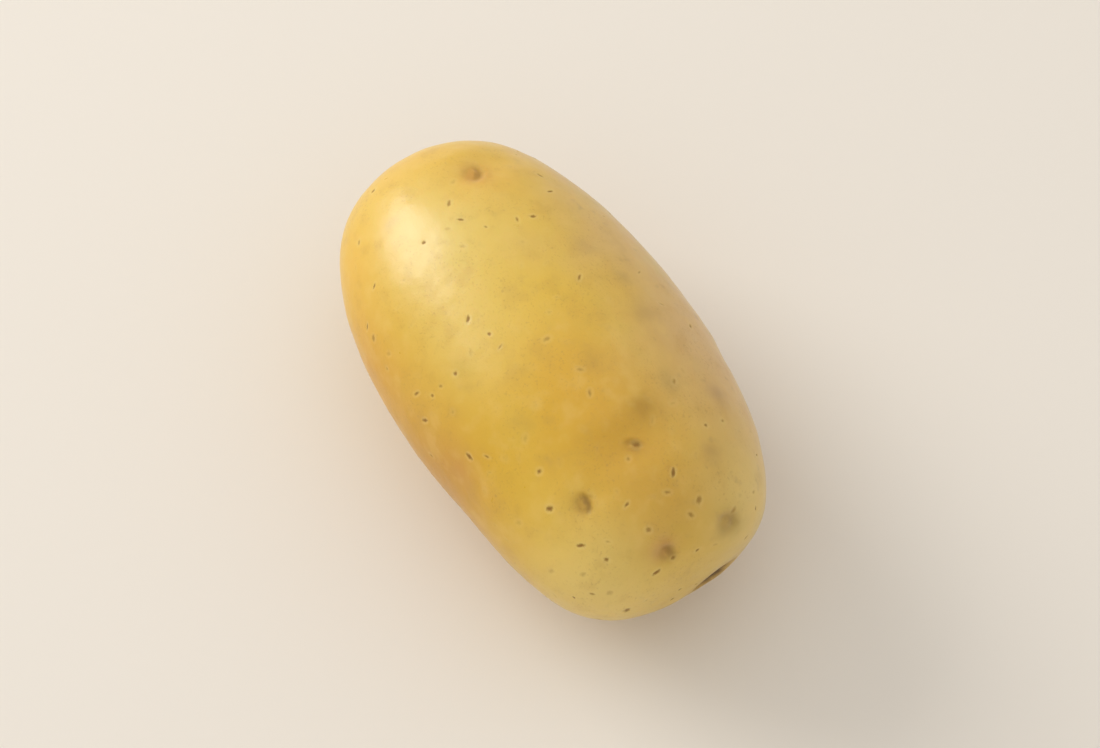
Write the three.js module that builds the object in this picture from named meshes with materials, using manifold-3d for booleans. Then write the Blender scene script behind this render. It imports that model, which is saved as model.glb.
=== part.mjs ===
// A potato: one long-oval tuber, lying on the small flat that it rests on.
//
// Frame, in millimetres with +Z up: +X is the rose end, where the eyes crowd together, and -X is
// the stem end, where the tuber grew from its plant. The origin is under the middle of the tuber,
// on the surface that it rests on.

import * as THREE from "three";
import { mergeVertices } from "three/addons/utils/BufferGeometryUtils.js";
import Module from "manifold-3d";

// The tuber's size across its three axes, before its relief and its rest flat are made.
const LENGTH = 100;
const WIDTH = 58;
const THICKNESS = 49;

// The outline of each end: 2 and 2 is an ellipse. A higher shoulder keeps the girth for longer
// from the middle, and a higher tip makes the very end blunter.
const STEM_END = { shoulder: 2.1, tip: 3 };
const ROSE_END = { shoulder: 2.4, tip: 3.4 };

// The tuber is slightly bent: its ends stand this far above and beside its middle.
const END_LIFT = 1.6;
const END_SWAY = 0.8;

// How deep a slice the rest flat takes off the lowest point.
const REST_FLAT_DEPTH = 0.7;

// The surface is a ball's, made from a box with this many squares along each edge.
const SQUARES_PER_EDGE = 24;

// A place on the skin is given by "along", from -1 at the stem end to 1 at the rose end, and by
// "around", in degrees from the top towards the +Y side.

// Broad swellings and dents: how far each rises at its middle, and how far it reaches.
const SWELLINGS = [
  { along: -0.5, around: -35, rise: 0.8, reach: 20 },
  { along: 0.35, around: -105, rise: -1, reach: 17 },
  { along: 0.1, around: 75, rise: 0.5, reach: 20 },
  { along: 0.88, around: -75, rise: 1, reach: 11 },
  { along: 0.65, around: 65, rise: 0.6, reach: 15 },
  { along: 0.95, around: 70, rise: 1.1, reach: 9 },
  { along: -0.6, around: 130, rise: -0.9, reach: 17 },
  { along: 0.25, around: 150, rise: 0.8, reach: 19 },
  { along: 0.15, around: -5, rise: 2, reach: 25 },
  { along: -0.05, around: 177, rise: 1.9, reach: 24 },
];

// Eyes: each lies in a hollow of its own width and depth.
const EYES = [
  { along: -0.71, around: 16, width: 13, depth: 0.7 },
  { along: 0.59, around: 0, width: 16, depth: 0.6 },
  { along: 0.66, around: -31, width: 8, depth: 0.4 },
  { along: 0.95, around: -15, width: 7, depth: 0.5 },
  { along: 0.95, around: 36, width: 6, depth: 0.35 },
  { along: 0.99, around: 146, width: 8, depth: 0.9 },
  { along: -0.3, around: 128, width: 14, depth: 0.9 },
  { along: 0.05, around: -140, width: 13, depth: 0.8 },
  { along: 0.35, around: 92, width: 11, depth: 0.6 },
  { along: 0.75, around: 165, width: 11, depth: 0.8 },
  { along: 0.8, around: -125, width: 8, depth: 0.6 },
  { along: -0.66, around: -130, width: 12, depth: 0.7 },
];

// An eye's hollow is this much shorter along the tuber than it is wide.
const EYE_SHORTNESS = 0.55;

// A low brow runs along the stem side of each eye's hollow. It rises by this share of the depth.
const BROW_SHARE = 0.35;
const BROW_REACH = 2.5;

// The stem end dips in around the scar of the stalk.
const STALK_DIP = { along: -0.99, around: 150, depth: 1, reach: 5 };

const SKIN_COLOUR = 0xd8ae52;
const SKIN_ROUGHNESS = 0.5;

const HALF_LENGTH = LENGTH / 2;
const HALF_WIDTH = WIDTH / 2;
const HALF_THICKNESS = THICKNESS / 2;

/** The end that a place belongs to, from its share of the length or any number of that sign. */
function endAt(along) {
  return along < 0 ? STEM_END : ROSE_END;
}

/** The smooth tuber's surface in a direction from its middle. */
function smoothPoint(direction) {
  const { shoulder, tip } = endAt(direction.x);
  const girth = Math.hypot(direction.y, direction.z);
  const size = Math.abs(direction.x) ** shoulder + girth ** tip;
  const along = direction.x / size ** (1 / shoulder);
  const girthScale = size ** (-1 / tip);
  return new THREE.Vector3(
    HALF_LENGTH * along,
    HALF_WIDTH * direction.y * girthScale - END_SWAY * along ** 2,
    HALF_THICKNESS * direction.z * girthScale + END_LIFT * along ** 2,
  );
}

/** The direction away from the tuber's middle in which its skin faces, near enough. */
function outwardAt(point) {
  return new THREE.Vector3(
    point.x / HALF_LENGTH ** 2,
    point.y / HALF_WIDTH ** 2,
    point.z / HALF_THICKNESS ** 2,
  ).normalize();
}

/** The point of the smooth skin at a place, with the directions across it and towards the rose end. */
function placeOnSkin({ along, around = 0 }) {
  const { shoulder, tip } = endAt(along);
  const girth = (1 - Math.abs(along) ** shoulder) ** (1 / tip);
  const angle = THREE.MathUtils.degToRad(around);
  const direction = new THREE.Vector3(along, girth * Math.sin(angle), girth * Math.cos(angle));
  const point = smoothPoint(direction);
  const outward = outwardAt(point);
  const across = new THREE.Vector3(0, Math.cos(angle), -Math.sin(angle));
  const roseward = new THREE.Vector3().crossVectors(across, outward).normalize();
  return { point, outward, across, roseward };
}

/** A soft round hill, 1 at its middle: the arguments are distances as shares of its reach. */
function hill(...shares) {
  return Math.exp(-shares.reduce((sum, share) => sum + share ** 2, 0));
}

const SWELLING_PLACES = SWELLINGS.map((swelling) => ({ ...swelling, ...placeOnSkin(swelling) }));
const EYE_PLACES = EYES.map((eye) => ({ ...eye, ...placeOnSkin(eye) }));
const STALK_DIP_POINT = placeOnSkin(STALK_DIP).point;

/** How far an eye's hollow and brow raise the skin at a point. */
function eyeRelief(point, eye) {
  const offset = point.clone().sub(eye.point);
  const reach = eye.width / 2;
  const shortReach = reach * EYE_SHORTNESS;
  const acrossShare = offset.dot(eye.across) / reach;
  const depthShare = offset.dot(eye.outward) / reach;
  const roseward = offset.dot(eye.roseward);
  const hollow = hill(acrossShare, depthShare, roseward / shortReach);
  const brow = hill(acrossShare, depthShare, (roseward + shortReach + BROW_REACH) / BROW_REACH);
  return eye.depth * (BROW_SHARE * brow - hollow);
}

/** How far the skin stands out from the smooth tuber at a point of it. */
function reliefAt(point) {
  let rise = 0;
  for (const swelling of SWELLING_PLACES) {
    rise += swelling.rise * hill(point.distanceTo(swelling.point) / swelling.reach);
  }
  rise -= STALK_DIP.depth * hill(point.distanceTo(STALK_DIP_POINT) / STALK_DIP.reach);
  for (const eye of EYE_PLACES) {
    rise += eyeRelief(point, eye);
  }
  return rise;
}

/** A closed ball of radius 1, with squares of nearly the same size all over it. */
function evenBall() {
  const ball = new THREE.BoxGeometry(2, 2, 2, SQUARES_PER_EDGE, SQUARES_PER_EDGE, SQUARES_PER_EDGE);
  ball.deleteAttribute("normal");
  ball.deleteAttribute("uv");
  const position = ball.getAttribute("position");
  const point = new THREE.Vector3();
  for (let i = 0; i < position.count; i += 1) {
    point.fromBufferAttribute(position, i);
    for (const axis of ["x", "y", "z"]) {
      point[axis] = Math.tan((point[axis] * Math.PI) / 4);
    }
    point.normalize();
    position.setXYZ(i, point.x, point.y, point.z);
  }
  return mergeVertices(ball, 1e-5);
}

/** The whole tuber, before its rest flat is cut. */
function tuberGeometry() {
  const tuber = evenBall();
  const position = tuber.getAttribute("position");
  const direction = new THREE.Vector3();
  for (let i = 0; i < position.count; i += 1) {
    direction.fromBufferAttribute(position, i);
    const point = smoothPoint(direction);
    point.addScaledVector(outwardAt(point), reliefAt(point));
    position.setXYZ(i, point.x, point.y, point.z);
  }
  return tuber;
}

const wasm = await Module();
wasm.setup();

/** A closed geometry with merged vertices as a solid that can be cut. */
function solidFrom(geometry) {
  return new wasm.Manifold(
    new wasm.Mesh({
      numProp: 3,
      vertProperties: new Float32Array(geometry.getAttribute("position").array),
      triVerts: new Uint32Array(geometry.getIndex().array),
    }),
  );
}

/** A cut solid as a geometry again. */
function geometryFrom(solid) {
  const mesh = solid.getMesh();
  const geometry = new THREE.BufferGeometry();
  geometry.setAttribute("position", new THREE.BufferAttribute(mesh.vertProperties, 3));
  geometry.setIndex(new THREE.BufferAttribute(mesh.triVerts, 1));
  return geometry;
}

/** The block of space below the rest flat, wider than the tuber. */
function spaceBelow(height) {
  const depth = THICKNESS;
  const block = new THREE.BoxGeometry(2 * LENGTH, 2 * LENGTH, depth);
  block.deleteAttribute("normal");
  block.deleteAttribute("uv");
  block.translate(0, 0, height - depth / 2);
  return mergeVertices(block);
}

/** The tuber standing on its rest flat, with the origin under its middle. */
function restingTuber() {
  const whole = tuberGeometry();
  whole.computeBoundingBox();
  const restHeight = whole.boundingBox.min.z + REST_FLAT_DEPTH;
  const cut = solidFrom(whole).subtract(solidFrom(spaceBelow(restHeight)));
  const geometry = geometryFrom(cut);
  geometry.computeBoundingBox();
  const middle = geometry.boundingBox.getCenter(new THREE.Vector3());
  geometry.translate(-middle.x, -middle.y, -geometry.boundingBox.min.z);
  geometry.computeVertexNormals();
  return geometry;
}

const skin = new THREE.MeshStandardMaterial({
  color: SKIN_COLOUR,
  roughness: SKIN_ROUGHNESS,
  metalness: 0,
});

const potato = new THREE.Mesh(restingTuber(), skin);
potato.name = "potato";

const part = new THREE.Group();
part.add(potato);

export default part;
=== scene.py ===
"""A potato that lies on a pale studio floor, with a finished skin in place of its plain solid."""

import math

import bpy
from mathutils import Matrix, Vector


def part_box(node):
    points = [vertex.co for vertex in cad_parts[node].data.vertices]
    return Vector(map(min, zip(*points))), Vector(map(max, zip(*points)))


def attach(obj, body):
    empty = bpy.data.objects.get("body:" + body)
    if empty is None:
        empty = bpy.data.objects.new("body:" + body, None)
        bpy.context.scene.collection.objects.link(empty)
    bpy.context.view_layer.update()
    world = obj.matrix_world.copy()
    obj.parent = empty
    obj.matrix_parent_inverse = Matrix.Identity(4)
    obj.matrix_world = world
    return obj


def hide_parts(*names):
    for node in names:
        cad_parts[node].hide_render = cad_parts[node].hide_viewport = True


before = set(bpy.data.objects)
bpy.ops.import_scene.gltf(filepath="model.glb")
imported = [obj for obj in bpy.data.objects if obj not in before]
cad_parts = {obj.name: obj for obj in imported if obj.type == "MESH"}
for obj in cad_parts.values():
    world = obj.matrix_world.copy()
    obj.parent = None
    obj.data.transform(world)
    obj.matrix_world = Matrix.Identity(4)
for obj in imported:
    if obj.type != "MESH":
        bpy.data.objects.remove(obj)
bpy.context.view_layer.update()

MM = 0.001
CAD_NODE = "potato"

cad_low, cad_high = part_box(CAD_NODE)

# The tuber's shape, as the solid has it. +X is the rose end and -X is the stem end.
LENGTH = 100 * MM
WIDTH = 58 * MM
THICKNESS = 49 * MM
STEM_END = {"shoulder": 2.1, "tip": 3.0}
ROSE_END = {"shoulder": 2.4, "tip": 3.4}
END_LIFT = 1.6 * MM
END_SWAY = 0.8 * MM
REST_FLAT_DEPTH = 0.7 * MM
REST_FLAT_EDGE = 0.35 * MM

# Vertices along the three edges of the box that the skin's ball is made from. They keep the
# skin's faces nearly square, and their number just under what one piece may have.
BOX_VERTICES = (191, 105, 101)

# A place on the skin is given by its share along the tuber, from -1 at the stem end to 1 at the
# rose end, and by its angle around it, in degrees from the top towards the +Y side.
# Broad swellings and dents: along, around, rise and reach in millimetres.
SWELLINGS = [
    (-0.5, -35, 0.8, 20),
    (0.35, -105, -1, 17),
    (0.1, 75, 0.5, 20),
    (0.88, -75, 1, 11),
    (0.65, 65, 0.6, 15),
    (0.95, 70, 1.1, 9),
    (-0.6, 130, -0.9, 17),
    (0.25, 150, 0.8, 19),
    (0.15, -5, 2, 25),
    (-0.05, 177, 1.9, 24),
]

# Eyes: along, around, and the hollow's width and depth. Then the bud's crescent: its half length,
# its half width as a share of that, the angle in degrees from the +Y side towards the rose end
# that it lies on, and how dark the skin is in it. Lengths are in millimetres.
EYES = [
    (-0.71, 16, 13, 0.7, 2.3, 0.75, 40, 0.5),
    (0.59, 0, 16, 0.6, 1.7, 0.6, -55, 0.4),
    (0.66, -31, 8, 0.4, 1.7, 0.75, 20, 0.7),
    (0.95, -15, 7, 0.5, 1.7, 0.85, -5, 0.6),
    (0.95, 36, 6, 0.35, 2.1, 0.8, -60, 0.45),
    (0.99, 146, 8, 0.9, 4.0, 0.5, -90, 1.35),
    (-0.3, 128, 14, 0.9, 2.4, 0.6, -90, 0.9),
    (0.05, -140, 13, 0.8, 2.1, 0.7, -80, 0.8),
    (0.35, 92, 11, 0.6, 2.0, 0.5, -100, 0.7),
    (0.75, 165, 11, 0.8, 2.1, 0.7, -90, 0.9),
    (0.8, -125, 8, 0.6, 1.8, 0.6, -110, 0.8),
    (-0.66, -130, 12, 0.7, 2.0, 0.7, -75, 0.8),
]
EYE_SHORTNESS = 0.55
BROW_SHARE = 0.35
BROW_REACH = 2.5 * MM

# How far a bud's mark shows round it, in bud sizes.
BUD_REACH = 1.6

# How strong the faint crescent across the bud is, beside the crescent itself.
FAINT_CRESCENT = 0.35

# The bud itself, the groove that its crescent lies in, and the lip beyond the groove.
BUD_RISE = 0.12 * MM
GROOVE_DEPTH = 0.3 * MM
LIP_RISE = 0.15 * MM

# The dip at the stalk: along, around, depth and reach. The stalk's scar lies in it.
STALK_DIP = (-0.99, 150, 1.0 * MM, 5 * MM)
SCAR_RADIUS = 1.9 * MM
SCAR_RING_RISE = 0.2 * MM
SCAR_PIT_DEPTH = 0.35 * MM
SCAR_STUB_RISE = 0.3 * MM

# The boldest pores: along, around, half length, half width in millimetres, the angle in degrees
# of their length from across the tuber, and how dark they are.
BOLD_PORES = [
    (0.23, -57, 0.95, 0.4, 85, 0.95),
    (0.59, -43, 0.7, 0.55, 20, 0.9),
    (0.76, -45, 0.95, 0.35, 40, 0.85),
    (0.97, -31, 0.95, 0.35, 12, 0.85),
    (0.74, 9, 1.0, 0.35, -55, 0.85),
    (0.97, -85, 0.85, 0.65, 20, 0.75),
    (0.59, 1, 0.95, 0.6, 33, 0.7),
    (-0.24, -2, 0.5, 0.45, 0, 0.75),
    (-0.4, 20, 0.65, 0.4, 30, 0.75),
    (-0.53, -22, 0.45, 0.4, 0, 0.75),
    (-0.07, -25, 0.95, 0.3, 35, 0.6),
    (-0.01, -66, 0.95, 0.35, 38, 0.85),
    (-0.04, -48, 0.85, 0.4, 38, 0.55),
    (-0.46, -37, 0.85, 0.45, 35, 0.4),
    (-0.62, -4, 0.9, 0.35, -55, 0.6),
    (-0.52, -11, 0.95, 0.4, 35, 0.35),
    (-0.4, -66, 0.85, 0.6, -35, 0.55),
    (-0.3, -62, 0.85, 0.4, 38, 0.4),
    (0.86, 16, 0.85, 0.5, -55, 0.6),
    (0.86, -15, 0.5, 0.45, 0, 0.6),
    (0.89, 9, 0.8, 0.5, 55, 0.55),
    (0.92, 39, 0.9, 0.45, -50, 0.5),
    (0.99, 119, 1.0, 0.8, 50, 1.0),
    (0.54, -60, 0.9, 0.5, 35, 0.35),
    (0.74, -68, 0.85, 0.5, 35, 0.4),
    (0.83, -57, 0.9, 0.5, 35, 0.4),
    (0.92, -61, 0.9, 0.6, 35, 0.4),
]
PORE_DEPTH = 0.11 * MM

# A pore's mark fades out between these distances from it.
PORE_FADE = (1.05 * MM, 1.4 * MM)

# The other pores are scattered: how far apart they keep, how many there may be, and the share of
# those that the stem end has. Then the ranges of their half lengths, half widths and darkness, and
# how much more often they are pale than dark.
PORE_SPACING = 2.8 * MM
PORES_PER_SQUARE_METRE = 55000.0
STEM_END_SHARE = 0.5
PORE_HALF_LENGTHS = (0.3 * MM, 0.85 * MM)
PORE_HALF_WIDTHS = (0.2 * MM, 0.45 * MM)
PORE_DARKNESS = (0.12, 0.82)
PORE_DARKNESS_LEAN = 2.6
SEED = 11

# Tints of the skin, from the broad ones to soft small smudges: along, around, reach in
# millimetres, colour and strength. A few broad rows are painted highlight and painted shade.
SKIN_TINTS_AND_PAINTED_LIGHT = [
    # Top ridge: partly the skin's own amber, partly painted shade where it reflects less light.
    (0.25, -8, 12, "dba512", 0.7),
    (0.55, -5, 13, "d6a012", 0.85),
    (0.83, -3, 11, "cd981a", 0.7),
    # Partly paler skin and partly a painted highlight, where the key softbox's highlight falls.
    (-0.57, -22, 16, "eed88e", 0.55),
    (-0.1, -34, 12, "e8cc72", 0.5),
    (-0.95, -5, 12, "e4b65c", 0.5),
    (0.88, -66, 14, "f0d37e", 0.75),
    (0.92, 60, 13, "e6cb7e", 0.7),
    (0.35, 58, 18, "dab27c", 0.5),
    # Painted shade: these two make the lower -Y side darker and a deeper gold.
    (0.15, -90, 18, "c0800a", 0.75),
    (-0.35, -86, 13, "d49404", 0.7),
    (-0.68, -64, 10, "e6ae28", 0.45),
    (-0.68, 15, 8, "dfa53c", 0.35),
    (-0.1, 108, 15, "dcae44", 0.6),
    (0.62, 118, 12, "d8aa48", 0.5),
    (0.2, -150, 20, "d9a93c", 0.5),
    (-0.5, 180, 18, "d6aa4c", 0.5),
    (0.23, -68, 4, "c88f4a", 0.4),
    (0.92, -19, 2.6, "c48850", 0.5),
    (-0.7, 14, 2.6, "dd9a4c", 0.55),
    (0.48, 10, 2.8, "a4781a", 0.45),
    (0.53, 46, 2.2, "a5805a", 0.45),
    (0.73, 30, 2, "a8804a", 0.4),
    (-0.03, 36, 1.8, "a8824a", 0.4),
    (0.15, 34, 3, "b08c50", 0.35),
    (0.95, 34, 3.2, "9c8844", 0.45),
    (-0.2, 30, 2.5, "b08a58", 0.35),
    (0.44, 26, 2.2, "a88c50", 0.35),
    (-0.04, -38, 2.8, "c8a648", 0.35),
    (0.24, 2, 2.4, "bd943a", 0.35),
    (-0.7, -32, 1.8, "cfb070", 0.4),
]

# The skin's colours, as a display shows them. First the ground and its patches.
GOLD = "e0b83c"
# Partly the skin's own colour and partly painted sheen, laid on towards the +Y side.
TAN_AND_SHEEN = "d9b46e"
OLIVE = "d2b34e"
GREEN = "d2bd50"
DARK_MOTTLE = "b98c3a"
PALE_MOTTLE = "ecc870"
GREY_SMUDGE = "a58352"
FLECK = "a87838"

# Then the marks: the pores, the eyes and the stalk's scar.
PORE_RING = "ead28a"
PORE_EDGE = "a57a1e"
PORE_CORE = "845800"
EYE_STAIN = "a87628"
EYE_CRESCENT = "7a5406"
DEEPEST_EYE = "50381a"
SCAR_STAIN = "b5863c"
SCAR_RING = "66451e"
SCAR_STUB = "9c7744"

# Uneven skin: how far it rises and falls, and over what distance.
BROAD_WAVES = (0.3 * MM, 15 * MM)
FINE_WAVES = (0.07 * MM, 3.5 * MM)

# The skin's gloss: its roughness where it is clean, and its grain's height.
SKIN_ROUGHNESS = 0.3
GRAIN_HEIGHT = 0.05 * MM

# The camera's angle round from the front and above the floor, and how wide a view it takes in.
CAMERA_AZIMUTH = 57.4
CAMERA_ELEVATION = 65
VIEW_WIDTH = 208 * MM

# Softboxes: name, the way towards it, distance and size in metres, and power in watts. Each lights
# a cone, which keeps its light off the floor beside it.
SOFTBOXES = [
    ("key", (-0.8, -0.36, 0.47), 1.3, 0.8, 3.15),
    ("overhead", (-0.15, 0.1, 1.0), 1.4, 1.2, 0.45),
]
SOFTBOX_SPREAD = math.radians(100)
SKY_STRENGTH = 0.69
PAPER = "efe7db"
PAPER_ROUGHNESS = 0.9


# ---------------------------------------------------------------- node trees as expressions

SOCKET_KINDS = {
    "number": "NodeSocketFloat",
    "whole": "NodeSocketInt",
    "vector": "NodeSocketVector",
    "shape": "NodeSocketGeometry",
    "finish": "NodeSocketMaterial",
}


def find_socket(sockets, key):
    """The socket at a number, or the one in use that has a name."""
    if isinstance(key, int):
        return sockets[key]
    return next(s for s in sockets if s.enabled and s.name == key)


class Wire:
    """A value in a node tree. Arithmetic on it adds Math nodes, or Vector Math on vectors."""

    def __init__(self, plan, socket):
        self.plan = plan
        self.socket = socket

    def beside(self, name):
        """Another output of the same node."""
        return Wire(self.plan, find_socket(self.socket.node.outputs, name))

    def __add__(self, other):
        return self.plan.maths("ADD", self, other)

    def __radd__(self, other):
        return self.plan.maths("ADD", other, self)

    def __sub__(self, other):
        return self.plan.maths("SUBTRACT", self, other)

    def __rsub__(self, other):
        return self.plan.maths("SUBTRACT", other, self)

    def __mul__(self, other):
        return self.plan.maths("MULTIPLY", self, other)

    def __rmul__(self, other):
        return self.plan.maths("MULTIPLY", other, self)

    def __truediv__(self, other):
        return self.plan.maths("DIVIDE", self, other)

    def __rtruediv__(self, other):
        return self.plan.maths("DIVIDE", other, self)

    def __pow__(self, other):
        return self.plan.maths("POWER", self, other)

    def __neg__(self):
        return self * -1.0


def is_vector(term):
    """Whether a wire or a plain value is a vector rather than a number."""
    if isinstance(term, Wire):
        return term.socket.type == "VECTOR"
    return not isinstance(term, (int, float))


class Plan:
    """A node tree that is written as expressions."""

    def __init__(self, tree):
        self.tree = tree
        self.inputs = None

    @classmethod
    def group(cls, name, inputs, outputs):
        """A new geometry tree with named inputs and outputs, each of a kind."""
        tree = bpy.data.node_groups.new(name, "GeometryNodeTree")
        for in_out, sockets in (("INPUT", inputs), ("OUTPUT", outputs)):
            for label, kind in sockets.items():
                tree.interface.new_socket(label, in_out=in_out, socket_type=SOCKET_KINDS[kind])
        plan = cls(tree)
        plan.inputs = tree.nodes.new("NodeGroupInput").outputs
        return plan

    def given(self, *labels):
        """The wires of the tree's own inputs."""
        wires = [Wire(self, find_socket(self.inputs, label)) for label in labels]
        return wires if len(wires) > 1 else wires[0]

    def feed(self, socket, value):
        """Sets a socket to a value, or links it to a wire or to each wire of a list."""
        for item in value if isinstance(value, list) else [value]:
            if isinstance(item, Wire):
                self.tree.links.new(item.socket, socket)
            else:
                socket.default_value = item

    def add(self, kind, settings=None, sockets=None, give=None):
        """Adds a node with its settings and then its sockets, and returns one of its outputs."""
        node = self.tree.nodes.new(kind)
        for name, setting in (settings or {}).items():
            setattr(node, name, setting)
        for key, value in (sockets or {}).items():
            self.feed(find_socket(node.inputs, key), value)
        outputs = [s for s in node.outputs if s.enabled]
        if give is not None:
            return Wire(self, find_socket(node.outputs, give))
        return Wire(self, outputs[0]) if outputs else None

    def maths(self, operation, *terms):
        """A Math node, or a Vector Math node where a term is a vector."""
        vectors = [is_vector(term) for term in terms]
        if not any(vectors):
            return self.add("ShaderNodeMath", {"operation": operation}, dict(enumerate(terms)))
        if operation == "MULTIPLY" and not all(vectors):
            arrow, number = terms if vectors[0] else reversed(terms)
            sockets = {0: arrow, "Scale": number}
            return self.add("ShaderNodeVectorMath", {"operation": "SCALE"}, sockets)
        return self.add("ShaderNodeVectorMath", {"operation": operation}, dict(enumerate(terms)))

    def vector(self, x, y, z):
        return self.add("ShaderNodeCombineXYZ", {}, {0: x, 1: y, 2: z})

    def split(self, vector):
        """A vector's three numbers."""
        x = self.add("ShaderNodeSeparateXYZ", {}, {0: vector})
        return x, x.beside("Y"), x.beside("Z")

    def ramp(self, value, low, high):
        """Goes smoothly from 0 to 1 as a value goes from low to high, or from high to low."""
        flip = low > high
        ends = {"From Min": min(low, high), "From Max": max(low, high)}
        ends |= {"To Min": float(flip), "To Max": float(not flip)}
        settings = {"interpolation_type": "SMOOTHSTEP"}
        return self.add("ShaderNodeMapRange", settings, {"Value": value, **ends})

    def hill(self, *shares):
        """A soft round hill, 1 at its middle. The shares are distances divided by its reach."""
        total = sum(share * share for share in shares)
        return self.maths("EXPONENT", -total)

    def noise(self, place, size, detail=1.0):
        """Soft random patches of about a size, from about -1 to 1."""
        sockets = {"Vector": place, "Scale": 1 / size, "Detail": detail}
        return self.add("ShaderNodeTexNoise", {}, sockets, give="Fac") * 2 - 1

    def blend(self, factor, first, second, kind="FLOAT"):
        """first where the factor is 0, and second where it is 1."""
        sockets = {"Factor": factor, "A": first, "B": second}
        return self.add("ShaderNodeMix", {"data_type": kind}, sockets)


# ------------------------------------------------------------------------ the skin's shape

SHAPE_INPUTS = {
    "Half Size": "vector",
    "Bend": "vector",
    "Stem End": "vector",
    "Rose End": "vector",
}


def given_shape(plan):
    """The four shape inputs of a tree, to hand on to a group inside it."""
    return dict(zip(SHAPE_INPUTS, plan.given(*SHAPE_INPUTS)))


def smooth_skin_group():
    """The smooth tuber's skin in a direction from its middle, and which way it faces there."""
    outputs = {"Point": "vector", "Outward": "vector"}
    plan = Plan.group("Smooth skin", {"Direction": "vector", **SHAPE_INPUTS}, outputs)
    direction, half_size, bend, stem_end, rose_end = plan.given("Direction", *SHAPE_INPUTS)
    x, y, z = plan.split(direction)
    is_rose = plan.maths("GREATER_THAN", x, 0.0)
    end = plan.blend(is_rose, stem_end, rose_end, "VECTOR")
    shoulder, tip, _ = plan.split(end)
    girth = plan.maths("SQRT", y * y + z * z)
    size = plan.maths("ABSOLUTE", x) ** shoulder + girth**tip
    along = x / size ** (1 / shoulder)
    girth_scale = size ** (-1 / tip)
    straight = plan.vector(along, y * girth_scale, z * girth_scale) * half_size
    point = straight + bend * (along * along)
    outward = plan.maths("NORMALIZE", point / (half_size * half_size))
    plan.add("NodeGroupOutput", {}, {"Point": point, "Outward": outward})
    return plan.tree


def place_group(smooth_skin):
    """A place on the smooth skin, with the directions across it and towards the rose end."""
    inputs = {"Along": "number", "Around": "number", **SHAPE_INPUTS}
    outputs = dict.fromkeys(("Point", "Outward", "Across", "Roseward"), "vector")
    plan = Plan.group("Place on skin", inputs, outputs)
    along, around, stem_end, rose_end = plan.given("Along", "Around", "Stem End", "Rose End")
    is_rose = plan.maths("GREATER_THAN", along, 0.0)
    shoulder, tip, _ = plan.split(plan.blend(is_rose, stem_end, rose_end, "VECTOR"))
    girth = (1 - plan.maths("ABSOLUTE", along) ** shoulder) ** (1 / tip)
    angle = plan.maths("RADIANS", around)
    sine = plan.maths("SINE", angle)
    cosine = plan.maths("COSINE", angle)
    direction = plan.vector(along, girth * sine, girth * cosine)
    sockets = {"Direction": direction, **given_shape(plan)}
    point = plan.add("GeometryNodeGroup", {"node_tree": smooth_skin}, sockets)
    outward = point.beside("Outward")
    across = plan.vector(0.0, cosine, -sine)
    roseward = plan.maths("NORMALIZE", plan.maths("CROSS_PRODUCT", across, outward))
    found = {"Point": point, "Outward": outward, "Across": across, "Roseward": roseward}
    plan.add("NodeGroupOutput", {}, found)
    return plan.tree


def swelling_group(place):
    """Adds one broad swelling or dent to the relief."""
    inputs = {"Point": "vector", "Relief": "number", "Along": "number", "Around": "number"}
    inputs |= {"Rise": "number", "Reach": "number", **SHAPE_INPUTS}
    plan = Plan.group("Swelling", inputs, {"Relief": "number"})
    point, relief, along, around = plan.given("Point", "Relief", "Along", "Around")
    rise, reach = plan.given("Rise", "Reach")
    sockets = {"Along": along, "Around": around, **given_shape(plan)}
    middle = plan.add("GeometryNodeGroup", {"node_tree": place}, sockets)
    distance = plan.maths("DISTANCE", point, middle)
    plan.add("NodeGroupOutput", {}, {"Relief": relief + rise * plan.hill(distance / reach)})
    return plan.tree


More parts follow.
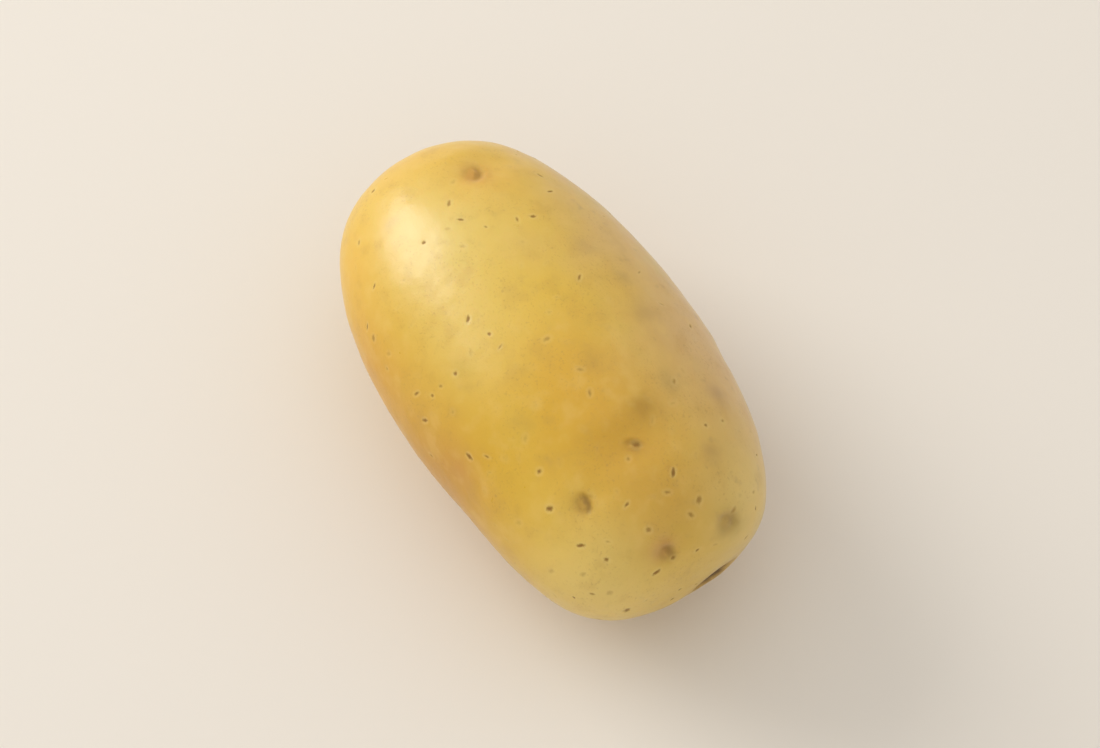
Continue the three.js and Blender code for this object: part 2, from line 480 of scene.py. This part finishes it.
def eye_group(place):
    """Adds one eye's hollow and brow to the relief, and its bud's mark to the nearest mark.

    A mark is where a point lies round the bud, first towards its crescent and then along it, in
    the crescent's half width and half length, and how dark the skin is. It fades out well before
    the next eye."""
    inputs = {"Point": "vector", "Relief": "number", "Nearest": "number", "Mark": "vector"}
    inputs |= dict.fromkeys(("Along", "Around", "Width", "Depth"), "number")
    inputs |= dict.fromkeys(("Bud Size", "Roundness", "Turn", "Darkness"), "number")
    inputs |= SHAPE_INPUTS
    outputs = {"Relief": "number", "Nearest": "number", "Mark": "vector"}
    plan = Plan.group("Eye", inputs, outputs)
    point, relief, nearest, mark = plan.given("Point", "Relief", "Nearest", "Mark")
    along, around, width, depth = plan.given("Along", "Around", "Width", "Depth")
    bud_size, roundness, turn, darkness = plan.given("Bud Size", "Roundness", "Turn", "Darkness")
    sockets = {"Along": along, "Around": around, **given_shape(plan)}
    middle = plan.add("GeometryNodeGroup", {"node_tree": place}, sockets)
    offset = point - middle
    across = plan.maths("DOT_PRODUCT", offset, middle.beside("Across"))
    roseward = plan.maths("DOT_PRODUCT", offset, middle.beside("Roseward"))
    outward = plan.maths("DOT_PRODUCT", offset, middle.beside("Outward"))
    reach = width / 2
    short_reach = reach * EYE_SHORTNESS
    hollow = plan.hill(across / reach, outward / reach, roseward / short_reach)
    past_brow = (roseward + short_reach + BROW_REACH) / BROW_REACH
    brow = plan.hill(across / reach, outward / reach, past_brow)
    distance = plan.maths("LENGTH", offset)
    fade = plan.hill(distance / (bud_size * BUD_REACH))
    angle = plan.maths("RADIANS", turn)
    sine = plan.maths("SINE", angle)
    cosine = plan.maths("COSINE", angle)
    outwards = (across * cosine + roseward * sine) / (bud_size * roundness)
    lengthwise = (roseward * cosine - across * sine) / bud_size
    own_mark = plan.vector(outwards, lengthwise, darkness * fade)
    is_nearer = plan.maths("LESS_THAN", distance, nearest)
    results = {
        "Relief": relief + depth * (BROW_SHARE * brow - hollow),
        "Nearest": plan.maths("MINIMUM", distance, nearest),
        "Mark": plan.blend(is_nearer, mark, own_mark, "VECTOR"),
    }
    plan.add("NodeGroupOutput", {}, results)
    return plan.tree


def even_ball(plan):
    """A ball of radius 1 with even squares, and a flat map of it in six even pieces."""
    counts = dict(zip(("Vertices X", "Vertices Y", "Vertices Z"), BOX_VERTICES))
    box = plan.add("GeometryNodeMeshCube", {}, {"Size": (2.0, 2.0, 2.0), **counts})
    on_box = plan.add("GeometryNodeInputPosition")
    face_middle = plan.add(
        "GeometryNodeFieldOnDomain",
        {"data_type": "FLOAT_VECTOR", "domain": "FACE"},
        {"Value": on_box},
    )
    sides = plan.split(face_middle)
    x, y, z = plan.split(on_box)
    on_side = 0.999
    is_end = plan.maths("GREATER_THAN", plan.maths("ABSOLUTE", sides[0]), on_side)
    is_top = plan.maths("GREATER_THAN", plan.maths("ABSOLUTE", sides[2]), on_side)
    side = sides[0] * is_end + sides[1] * (1 - is_end - is_top) + sides[2] * is_top
    column = plan.maths("GREATER_THAN", side, 0.0)
    row = is_end + 2 * is_top
    over = plan.blend(is_end, x, y)
    up = plan.blend(is_top, z, y)
    share_filled = 0.98
    map_x = (column + 0.5 + over * share_filled / 2) / 2
    map_y = (row + 0.5 + up * share_filled / 2) / 3
    mapped = store(plan, box, "OFBake", plan.vector(map_x, map_y, 0.0), "FLOAT2", "CORNER")
    even = [plan.maths("TANGENT", number * (math.pi / 4)) for number in (x, y, z)]
    ball = plan.maths("NORMALIZE", plan.vector(*even))
    return plan.add("GeometryNodeSetPosition", {}, {"Geometry": mapped, "Position": ball})


def store(plan, shape, name, value, data_type="FLOAT_VECTOR", domain="POINT"):
    """Keeps a value on each point of a shape, by name."""
    settings = {"data_type": data_type, "domain": domain}
    sockets = {"Geometry": shape, "Name": name, "Value": value}
    return plan.add("GeometryNodeStoreNamedAttribute", settings, sockets)


def stored(plan, name):
    """The value that was kept by name."""
    settings = {"data_type": "FLOAT_VECTOR"}
    return plan.add("GeometryNodeInputNamedAttribute", settings, {"Name": name})


def bold_pore_points(plan, place, shape, shift):
    """A point for each of the boldest pores."""
    points = []
    for along, around, half_length, half_width, tilt, darkness in BOLD_PORES:
        sockets = {"Along": along, "Around": float(around), **shape}
        middle = plan.add("GeometryNodeGroup", {"node_tree": place}, sockets)
        angle = math.radians(tilt)
        across, roseward = middle.beside("Across"), middle.beside("Roseward")
        line = across * math.cos(angle) + roseward * math.sin(angle)
        point = plan.add("GeometryNodePoints", {}, {"Count": 1, "Position": middle + shift})
        point = store(plan, point, "pore_line", line)
        size = (half_length * MM, half_width * MM, darkness)
        points.append(store(plan, point, "pore_size", size))
    return plan.add("GeometryNodeJoinGeometry", {}, {"Geometry": points})


def random_pore_points(plan, skin, bold_points):
    """Points for the other pores, all over the skin, kept clear of each other and the bold ones."""
    x, _, _ = plan.split(plan.add("GeometryNodeInputPosition"))
    roseward = plan.ramp(x, -0.6 * LENGTH, 0.5 * LENGTH)
    crowding = roseward * (1 - STEM_END_SHARE) + STEM_END_SHARE
    seed = plan.given("Seed")
    sockets = {
        "Mesh": skin,
        "Distance Min": plan.given("Pore Spacing"),
        "Density Max": PORES_PER_SQUARE_METRE,
        "Density Factor": crowding,
        "Seed": seed,
    }
    settings = {"distribute_method": "POISSON"}
    points = plan.add("GeometryNodeDistributePointsOnFaces", settings, sockets)

    def chance(number, low=0.0, high=1.0):
        sockets = {"Min": low, "Max": high, "Seed": number}
        return plan.add("FunctionNodeRandomValue", {"data_type": "FLOAT"}, sockets)

    settings = {"data_type": "FLOAT_VECTOR"}
    sockets = {"Min": (-1.0, -1.0, -1.0), "Max": (1.0, 1.0, 1.0), "Seed": 1}
    line = plan.add("FunctionNodeRandomValue", settings, sockets)
    palest, darkest = PORE_DARKNESS
    darkness = palest + (darkest - palest) * chance(4) ** PORE_DARKNESS_LEAN
    size = plan.vector(chance(2, *PORE_HALF_LENGTHS), chance(3, *PORE_HALF_WIDTHS), darkness)
    points = store(plan, points, "pore_line", line)
    points = store(plan, points, "pore_size", size)
    near_bold = plan.add(
        "GeometryNodeProximity",
        {"target_element": "POINTS"},
        {"Geometry": bold_points},
        give="Distance",
    )
    too_near = plan.maths("LESS_THAN", near_bold, plan.given("Pore Spacing"))
    sockets = {"Geometry": points, "Selection": too_near}
    return plan.add("GeometryNodeDeleteGeometry", {"domain": "POINT"}, sockets)


def pore_mark(plan, points):
    """Where each point of the skin lies in its nearest pore, in pore sizes, and how dark it is."""
    position = plan.add("GeometryNodeInputPosition")
    sockets = {"Geometry": points, "Sample Position": position}
    index = plan.add("GeometryNodeSampleNearest", {}, sockets)

    def at_pore(value):
        settings = {"data_type": "FLOAT_VECTOR"}
        sockets = {"Geometry": points, "Value": value, "Index": index}
        return plan.add("GeometryNodeSampleIndex", settings, sockets)

    normal = plan.add("GeometryNodeInputNormal")
    offset = position - at_pore(plan.add("GeometryNodeInputPosition"))
    line = at_pore(stored(plan, "pore_line"))
    half_length, half_width, darkness = plan.split(at_pore(stored(plan, "pore_size")))
    line = plan.maths("NORMALIZE", line - normal * plan.maths("DOT_PRODUCT", line, normal))
    side = plan.maths("CROSS_PRODUCT", normal, line)
    fade = plan.ramp(plan.maths("LENGTH", offset), PORE_FADE[1], PORE_FADE[0])
    return plan.vector(
        plan.maths("DOT_PRODUCT", offset, line) / half_length,
        plan.maths("DOT_PRODUCT", offset, side) / half_width,
        darkness * fade,
    )


def crescents(plan, outwards, distance):
    """How far a place round a bud is in its crescent, and in the fainter one across from it."""
    side = outwards / (distance + 0.01)
    return plan.ramp(side, -0.7, 0.7) + FAINT_CRESCENT * plan.ramp(side, 0.1, -0.8)


def eye_relief(plan):
    """The bud of an eye between its crescent grooves, from the eye's mark."""
    outwards, lengthwise, darkness = plan.split(stored(plan, "eye_mark"))
    distance = plan.maths("SQRT", outwards * outwards + lengthwise * lengthwise)
    groove = plan.hill((distance - 0.8) / 0.4) * crescents(plan, outwards, distance)
    lip = plan.hill((distance - 1.6) / 0.45) * plan.ramp(outwards, 0.0, 1.2)
    bud = plan.hill(distance / 0.5)
    rise = BUD_RISE * bud + LIP_RISE * lip - GROOVE_DEPTH * groove
    return rise * plan.ramp(darkness, 0.0, 0.4)


def scar_distance(plan, across, roseward, nearness):
    """Distance from the middle of the stalk's scar, in its radii. It is long out of reach."""
    return plan.maths("SQRT", across * across + roseward * roseward) + 3 * (1 - nearness) ** 4


def scar_relief(plan):
    """The ring and the stub that the stalk left."""
    distance = scar_distance(plan, *plan.split(stored(plan, "stalk_mark")))
    ring = plan.hill((distance - 1) / 0.3)
    pit = plan.ramp(distance, 1.0, 0.5)
    stub = plan.hill(distance / 0.35)
    return SCAR_RING_RISE * ring - SCAR_PIT_DEPTH * pit + SCAR_STUB_RISE * stub


def pore_relief(plan):
    """A pore's pit and its faint rim, from its mark."""
    along, across, darkness = plan.split(stored(plan, "pore_mark"))
    distance = plan.maths("SQRT", along * along + across * across)
    pit = plan.hill(distance / 0.9)
    rim = plan.hill((distance - 1.7) / 0.5)
    return PORE_DEPTH * (0.25 * rim - pit) * plan.ramp(darkness, 0.0, 0.8)


def skin_group():
    """The tree of the whole skin."""
    numbers = ("Length", "Width", "Thickness", "End Lift", "End Sway", "Rest Flat Depth")
    numbers += ("Stem Shoulder", "Stem Tip", "Rose Shoulder", "Rose Tip", "Pore Spacing")
    inputs = {"Geometry": "shape", **dict.fromkeys(numbers, "number")}
    inputs |= {"Middle": "vector", "Seed": "whole", "Finish": "finish"}
    plan = Plan.group("Potato skin", inputs, {"Geometry": "shape"})
    length, width, thickness, lift, sway, flat_depth = plan.given(*numbers[:6])
    stem_shoulder, stem_tip, rose_shoulder, rose_tip = plan.given(*numbers[6:10])
    shape = {
        "Half Size": plan.vector(length / 2, width / 2, thickness / 2),
        "Bend": plan.vector(0.0, -sway, lift),
        "Stem End": plan.vector(stem_shoulder, stem_tip, 0.0),
        "Rose End": plan.vector(rose_shoulder, rose_tip, 0.0),
    }
    smooth_skin = smooth_skin_group()
    place = place_group(smooth_skin)

    ball = even_ball(plan)
    direction = plan.add("GeometryNodeInputPosition")
    sockets = {"Direction": direction, **shape}
    point = plan.add("GeometryNodeGroup", {"node_tree": smooth_skin}, sockets)
    outward = point.beside("Outward")

    swelling = swelling_group(place)
    stalk_along, stalk_around, stalk_depth, stalk_reach = STALK_DIP
    relief = 0.0
    rises = [(along, around, rise * MM, reach * MM) for along, around, rise, reach in SWELLINGS]
    rises.append((stalk_along, stalk_around, -stalk_depth, stalk_reach))
    for along, around, rise, reach in rises:
        sockets = {"Point": point, "Relief": relief, "Along": along, "Around": float(around)}
        sockets |= {"Rise": rise, "Reach": reach, **shape}
        relief = plan.add("GeometryNodeGroup", {"node_tree": swelling}, sockets)

    eye = eye_group(place)
    nearest = LENGTH
    mark = (0.0, 0.0, 0.0)
    for along, around, eye_width, depth, bud_size, roundness, turn, darkness in EYES:
        sockets = {"Point": point, "Relief": relief, "Nearest": nearest, "Mark": mark}
        sockets |= {"Along": along, "Around": float(around), "Width": eye_width * MM}
        sockets |= {"Depth": depth * MM, "Bud Size": bud_size * MM, "Roundness": roundness}
        sockets |= {"Turn": float(turn), "Darkness": darkness, **shape}
        relief = plan.add("GeometryNodeGroup", {"node_tree": eye}, sockets)
        nearest = relief.beside("Nearest")
        mark = relief.beside("Mark")

    sockets = {"Along": stalk_along, "Around": float(stalk_around), **shape}
    stalk = plan.add("GeometryNodeGroup", {"node_tree": place}, sockets)
    from_stalk = point - stalk
    stalk_mark = plan.vector(
        plan.maths("DOT_PRODUCT", from_stalk, stalk.beside("Across")) / SCAR_RADIUS,
        plan.maths("DOT_PRODUCT", from_stalk, stalk.beside("Roseward")) / SCAR_RADIUS,
        plan.hill(plan.maths("LENGTH", from_stalk) / stalk_reach),
    )

    skin = store(plan, ball, "eye_mark", mark)
    skin = store(plan, skin, "stalk_mark", stalk_mark)
    position = point + outward * relief
    skin = plan.add("GeometryNodeSetPosition", {}, {"Geometry": skin, "Position": position})

    low = plan.add("GeometryNodeBoundBox", {}, {"Geometry": skin}, give="Min")
    high = low.beside("Max")
    middle = (low + high) * 0.5
    _, _, lowest = plan.split(low)
    middle_x, middle_y, _ = plan.split(middle)
    shift = plan.given("Middle") - plan.vector(middle_x, middle_y, lowest + flat_depth)
    skin = plan.add("GeometryNodeSetPosition", {}, {"Geometry": skin, "Offset": shift})

    bold_points = bold_pore_points(plan, place, shape, shift)
    points = [random_pore_points(plan, skin, bold_points), bold_points]
    points = plan.add("GeometryNodeJoinGeometry", {}, {"Geometry": points})
    skin = store(plan, skin, "pore_mark", pore_mark(plan, points))

    normal = plan.add("GeometryNodeInputNormal")
    position = plan.add("GeometryNodeInputPosition")
    rise = sum(
        height * plan.noise(position, reach) for height, reach in (BROAD_WAVES, FINE_WAVES)
    )
    rise = rise + eye_relief(plan) + scar_relief(plan) + pore_relief(plan)
    x, y, z = plan.split(position + normal * rise)
    rested = plan.maths("SMOOTH_MAX", z, 0.0, REST_FLAT_EDGE)
    sockets = {"Geometry": skin, "Position": plan.vector(x, y, rested)}
    skin = plan.add("GeometryNodeSetPosition", {}, sockets)
    skin = plan.add("GeometryNodeSetShadeSmooth", {}, {"Geometry": skin})
    skin = plan.add("GeometryNodeRealizeInstances", {}, {"Geometry": skin})
    finish = plan.given("Finish")
    skin = plan.add("GeometryNodeSetMaterial", {}, {"Geometry": skin, "Material": finish})
    plan.add("NodeGroupOutput", {}, {"Geometry": skin})
    return plan.tree


def build_skin(finish):
    """The potato's skin as a plain mesh, at the place of the CAD solid."""
    tree = skin_group()
    middle = (cad_low + cad_high) / 2
    values = {
        "Length": LENGTH,
        "Width": WIDTH,
        "Thickness": THICKNESS,
        "End Lift": END_LIFT,
        "End Sway": END_SWAY,
        "Rest Flat Depth": REST_FLAT_DEPTH,
        "Stem Shoulder": STEM_END["shoulder"],
        "Stem Tip": STEM_END["tip"],
        "Rose Shoulder": ROSE_END["shoulder"],
        "Rose Tip": ROSE_END["tip"],
        "Pore Spacing": PORE_SPACING,
        "Middle": (middle.x, middle.y, cad_low.z),
        "Seed": SEED,
        "Finish": finish,
    }
    base = bpy.data.objects.new("skin_base", bpy.data.meshes.new("skin_base"))
    bpy.context.scene.collection.objects.link(base)
    modifier = base.modifiers.new("Potato skin", "NODES")
    modifier.node_group = tree
    for socket in tree.interface.items_tree:
        if socket.in_out == "INPUT" and socket.name in values:
            modifier[socket.identifier] = values[socket.name]
    evaluated = base.evaluated_get(bpy.context.evaluated_depsgraph_get())
    mesh = bpy.data.meshes.new_from_object(evaluated)
    bpy.data.objects.remove(base)
    skin = bpy.data.objects.new("potato_skin", mesh)
    bpy.context.scene.collection.objects.link(skin)
    return skin


# ----------------------------------------------------------------------- the skin's finish


def paint(code):
    """A display colour, such as "d8ae52", as linear red, green and blue, with alpha."""
    shares = [int(code[i : i + 2], 16) / 255 for i in (0, 2, 4)]
    linear = [s / 12.92 if s <= 0.04045 else ((s + 0.055) / 1.055) ** 2.4 for s in shares]
    return (*linear, 1.0)


def tint_middle(along, around):
    """About where the skin is at a place."""
    end = STEM_END if along < 0 else ROSE_END
    girth = (1 - abs(along) ** end["shoulder"]) ** (1 / end["tip"])
    angle = math.radians(around)
    middle = (cad_low + cad_high) / 2
    half_size = (cad_high - cad_low) / 2
    return middle + half_size * Vector((along, girth * math.sin(angle), girth * math.cos(angle)))


def tint(plan, factor, under, over):
    """A colour with a paint laid over it, as thickly as the factor says."""
    return plan.blend(factor, under, paint(over), "RGBA")


def kept_mark(plan, name):
    """The three numbers of a mark that the skin's shape keeps by name."""
    return plan.split(plan.add("ShaderNodeAttribute", {"attribute_name": name}, give="Vector"))


def ground_colour(plan, place):
    """Gold skin, tawny towards the +Y side (partly painted sheen) and olive at the rose end, and
    the tawny share.
    """
    x, y, _ = plan.split(place)
    wander = 0.3 * plan.noise(place, 24 * MM, 2.0)
    # Towards the +Y side the skin turns tawny: partly its own colour, partly painted sheen.
    tan_and_sheen = plan.ramp(y / WIDTH + 0.15 * x / LENGTH + wander, -0.05, 0.5)
    colour = plan.blend(tan_and_sheen, paint(GOLD), paint(TAN_AND_SHEEN), "RGBA")
    olive = plan.ramp(x / LENGTH + wander, 0.1, 0.6)
    colour = tint(plan, olive * 0.45, colour, OLIVE)
    green = plan.ramp(plan.noise(place + (0.3, 0.1, 0.2), 15 * MM, 2.0), 0.1, 0.6)
    colour = tint(plan, green * 0.35, colour, GREEN)
    ragged = 1.2 * MM * plan.noise(place, 3 * MM, 2.0)
    # Lays on each listed tint: most are the skin's own colour, a few painted highlight and shade.
    for along, around, reach, shade, strength in SKIN_TINTS_AND_PAINTED_LIGHT:
        distance = plan.maths("DISTANCE", place, tint_middle(along, around)) + ragged
        colour = tint(plan, plan.hill(distance / (reach * MM)) * strength, colour, shade)
    return colour, tan_and_sheen


def add_mottling(plan, place, colour, tan_and_sheen):
    """Mottles the skin, with faint greyish smudges and a fine net of flecks."""
    mottle = plan.noise(place, 4.5 * MM, 3.0)
    colour = tint(plan, plan.ramp(mottle, 0.0, 0.5) * 0.2, colour, DARK_MOTTLE)
    colour = tint(plan, plan.ramp(mottle, 0.0, -0.5) * 0.22, colour, PALE_MOTTLE)
    smudge = plan.ramp(plan.noise(place + (0.5, 0.2, 0.6), 3.6 * MM, 2.0), 0.22, 0.6)
    colour = tint(plan, smudge * (0.1 + 0.4 * tan_and_sheen), colour, GREY_SMUDGE)
    flecks = plan.ramp(plan.noise(place, 0.5 * MM, 2.0), 0.1, 0.45)
    fleck_patches = plan.ramp(plan.noise(place, 9 * MM, 2.0), -0.35, 0.35)
    return tint(plan, flecks * fleck_patches * 0.26, colour, FLECK)


def add_pores(plan, place, colour):
    """Adds the pores, each a pale ring round a ragged brown core, and gives the cores' share."""
    along, across, darkness = kept_mark(plan, "pore_mark")
    along = along + 0.55 * plan.noise(place, 0.6 * MM, 2.0)
    across = across + 0.55 * plan.noise(place + (0.8, 0.1, 0.3), 0.6 * MM, 2.0)
    distance = plan.maths("SQRT", along * along + across * across)
    ring = plan.ramp(distance, 3.0, 1.2) * darkness
    core = plan.ramp(distance, 1.6, 0.1) * plan.ramp(darkness, 0.0, 1.0)
    colour = tint(plan, ring * 0.25, colour, PORE_RING)
    colour = tint(plan, plan.ramp(core, 0.0, 0.6) * 0.6, colour, PORE_EDGE)
    colour = tint(plan, plan.ramp(core, 0.3, 1.0) * 0.8, colour, PORE_CORE)
    return colour, core


def add_eyes(plan, place, colour):
    """Adds a brown crescent beside each stained bud, and gives the crescents' share.

    The darkest eye is deep brown."""
    outwards, lengthwise, darkness = kept_mark(plan, "eye_mark")
    outwards = outwards + 0.5 * plan.noise(place, 1.5 * MM, 3.0)
    lengthwise = lengthwise + 0.5 * plan.noise(place + (0.4, 0.4, 0.4), 1.5 * MM, 3.0)
    distance = plan.maths("SQRT", outwards * outwards + lengthwise * lengthwise)
    crescent = plan.hill((distance - 0.75) / 0.6) * crescents(plan, outwards, distance)
    crescent = crescent * plan.ramp(darkness, 0.05, 0.9)
    stain = plan.ramp(distance, 2.6, 0.2) * darkness
    deep = plan.ramp(distance, 1.9, 0.8) * plan.ramp(darkness, 0.9, 1.3) * (0.4 + crescent)
    colour = tint(plan, stain * 0.65, colour, EYE_STAIN)
    colour = tint(plan, crescent * 0.8, colour, EYE_CRESCENT)
    colour = tint(plan, deep * 0.62, colour, DEEPEST_EYE)
    return colour, crescent


def add_scar(plan, place, colour):
    """Adds the stalk's scar, a dark ragged ring round a paler stub, and gives its share."""
    distance = scar_distance(plan, *kept_mark(plan, "stalk_mark"))
    distance = distance + 0.6 * plan.noise(place, 1.4 * MM, 4.0)
    scar = plan.ramp(distance, 1.5, 0.8)
    stub = plan.ramp(distance, 0.6, 0.1)
    colour = tint(plan, plan.ramp(distance, 3.2, 1.0) * 0.5, colour, SCAR_STAIN)
    colour = tint(plan, scar * 0.9, colour, SCAR_RING)
    colour = tint(plan, stub * 0.55, colour, SCAR_STUB)
    return colour, scar


def skin_finish():
    """Thin waxy yellow skin, with tawny and green patches, flecks, brown pores and eyes, and
    painted sheen, highlight and shade.
    """
    material = bpy.data.materials.new("potato_skin")
    material.use_nodes = True
    material.node_tree.nodes.clear()
    plan = Plan(material.node_tree)
    place = plan.add("ShaderNodeTexCoord", give="Object")
    colour, tan_and_sheen = ground_colour(plan, place)
    colour = add_mottling(plan, place, colour, tan_and_sheen)
    colour, core = add_pores(plan, place, colour)
    colour, crescent = add_eyes(plan, place, colour)
    colour, scar = add_scar(plan, place, colour)

    # The marks are duller than the clean skin, and sink into its grain.
    dull = 0.35 * core + 0.25 * crescent + 0.4 * scar
    roughness = SKIN_ROUGHNESS + 0.05 * plan.noise(place, 3 * MM, 3.0) + dull
    grain = 0.5 * plan.noise(place, 1.2 * MM, 3.0) + 0.22 * plan.noise(place, 0.3 * MM, 2.0)
    height = grain - 0.8 * core - 0.6 * crescent - 0.5 * scar
    sockets = {"Strength": 0.5, "Distance": GRAIN_HEIGHT, "Height": height}
    bump = plan.add("ShaderNodeBump", {}, sockets)
    sockets = {
        "Base Color": colour,
        "Roughness": roughness,
        "Normal": bump,
        "IOR": 1.53,
        "Subsurface Weight": 0.12,
        "Subsurface Radius": (1.0, 0.45, 0.15),
        "Subsurface Scale": 1.5 * MM,
    }
    shader = plan.add("ShaderNodeBsdfPrincipled", {}, sockets)
    plan.add("ShaderNodeOutputMaterial", {}, {"Surface": shader})
    return material


# ------------------------------------------------------------------- floor, light and camera


def plain_finish(name, colour, roughness):
    """An even matt finish for the stage."""
    material = bpy.data.materials.new(name)
    material.use_nodes = True
    shader = material.node_tree.nodes["Principled BSDF"]
    shader.inputs["Base Color"].default_value = colour
    shader.inputs["Roughness"].default_value = roughness
    return material


def build_sweep():
    """A round floor that curves up into a wall on every side."""
    floor_radius = 1.3
    bend_radius = 1.1
    wall_height = 1.1
    bend_steps = 24
    round_steps = 96
    profile = [(radius, 0.0) for radius in (0.15, 0.6, floor_radius)]
    for step in range(1, bend_steps + 1):
        angle = math.pi / 2 * step / bend_steps
        out = floor_radius + bend_radius * math.sin(angle)
        profile.append((out, bend_radius * (1 - math.cos(angle))))
    profile.append((floor_radius + bend_radius, wall_height))
    vertices = [(0.0, 0.0, 0.0)]
    for radius, height in profile:
        for step in range(round_steps):
            turn = math.tau * step / round_steps
            vertices.append((radius * math.cos(turn), radius * math.sin(turn), height))
    faces = []
    for step in range(round_steps):
        following = (step + 1) % round_steps
        faces.append((0, 1 + step, 1 + following))
        for ring in range(len(profile) - 1):
            inner = 1 + ring * round_steps
            outer = inner + round_steps
            faces.append((inner + step, outer + step, outer + following, inner + following))
    mesh = bpy.data.meshes.new("sweep")
    mesh.from_pydata(vertices, [], faces)
    mesh.shade_smooth()
    mesh.materials.append(plain_finish("pale_paper", paint(PAPER), PAPER_ROUGHNESS))
    sweep = bpy.data.objects.new("sweep", mesh)
    bpy.context.scene.collection.objects.link(sweep)
    return sweep


def aim(thing, place, target):
    """Puts a camera or a lamp at a place, facing a target."""
    thing.location = place
    thing.rotation_euler = (target - place).to_track_quat("-Z", "Y").to_euler()


def add_softbox(name, toward, distance, size, power, target):
    """A square lamp on the side of the target that a direction points to."""
    lamp = bpy.data.lights.new(name, "AREA")
    lamp.shape = "SQUARE"
    lamp.size = size
    lamp.spread = SOFTBOX_SPREAD
    lamp.energy = power
    softbox = bpy.data.objects.new(name, lamp)
    bpy.context.scene.collection.objects.link(softbox)
    softbox.visible_camera = False
    aim(softbox, target + Vector(toward).normalized() * distance, target)


def direction_to(azimuth, elevation):
    """The direction from the object to a viewer: azimuth 0 is in front, on the -Y side."""
    around = math.radians(azimuth)
    above = math.radians(elevation)
    level = math.cos(above)
    return Vector((math.sin(around) * level, -math.cos(around) * level, math.sin(above)))


def light_scene(target):
    """Lights the potato with its softboxes and an even pale sky."""
    for softbox in SOFTBOXES:
        add_softbox(*softbox, target)
    world = bpy.data.worlds.new("studio")
    world.use_nodes = True
    background = world.node_tree.nodes["Background"]
    background.inputs["Color"].default_value = (1.0, 1.0, 1.0, 1.0)
    background.inputs["Strength"].default_value = SKY_STRENGTH
    bpy.context.scene.world = world


def add_camera(target):
    """Adds the camera, which looks down on the potato with its rose end at the lower right."""
    camera = bpy.data.cameras.new("camera")
    camera.sensor_width = 36.0
    camera.lens = 150.0
    camera_object = bpy.data.objects.new("camera", camera)
    bpy.context.scene.collection.objects.link(camera_object)
    distance = VIEW_WIDTH * camera.lens / camera.sensor_width
    toward = direction_to(CAMERA_AZIMUTH, CAMERA_ELEVATION)
    aim(camera_object, target + toward * distance, target)
    bpy.context.scene.camera = camera_object


potato = build_skin(skin_finish())
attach(potato, "root")
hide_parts(CAD_NODE)

build_sweep()
centre = (cad_low + cad_high) / 2
light_scene(centre)
add_camera(centre)
bpy.context.scene.view_settings.view_transform = "Standard"
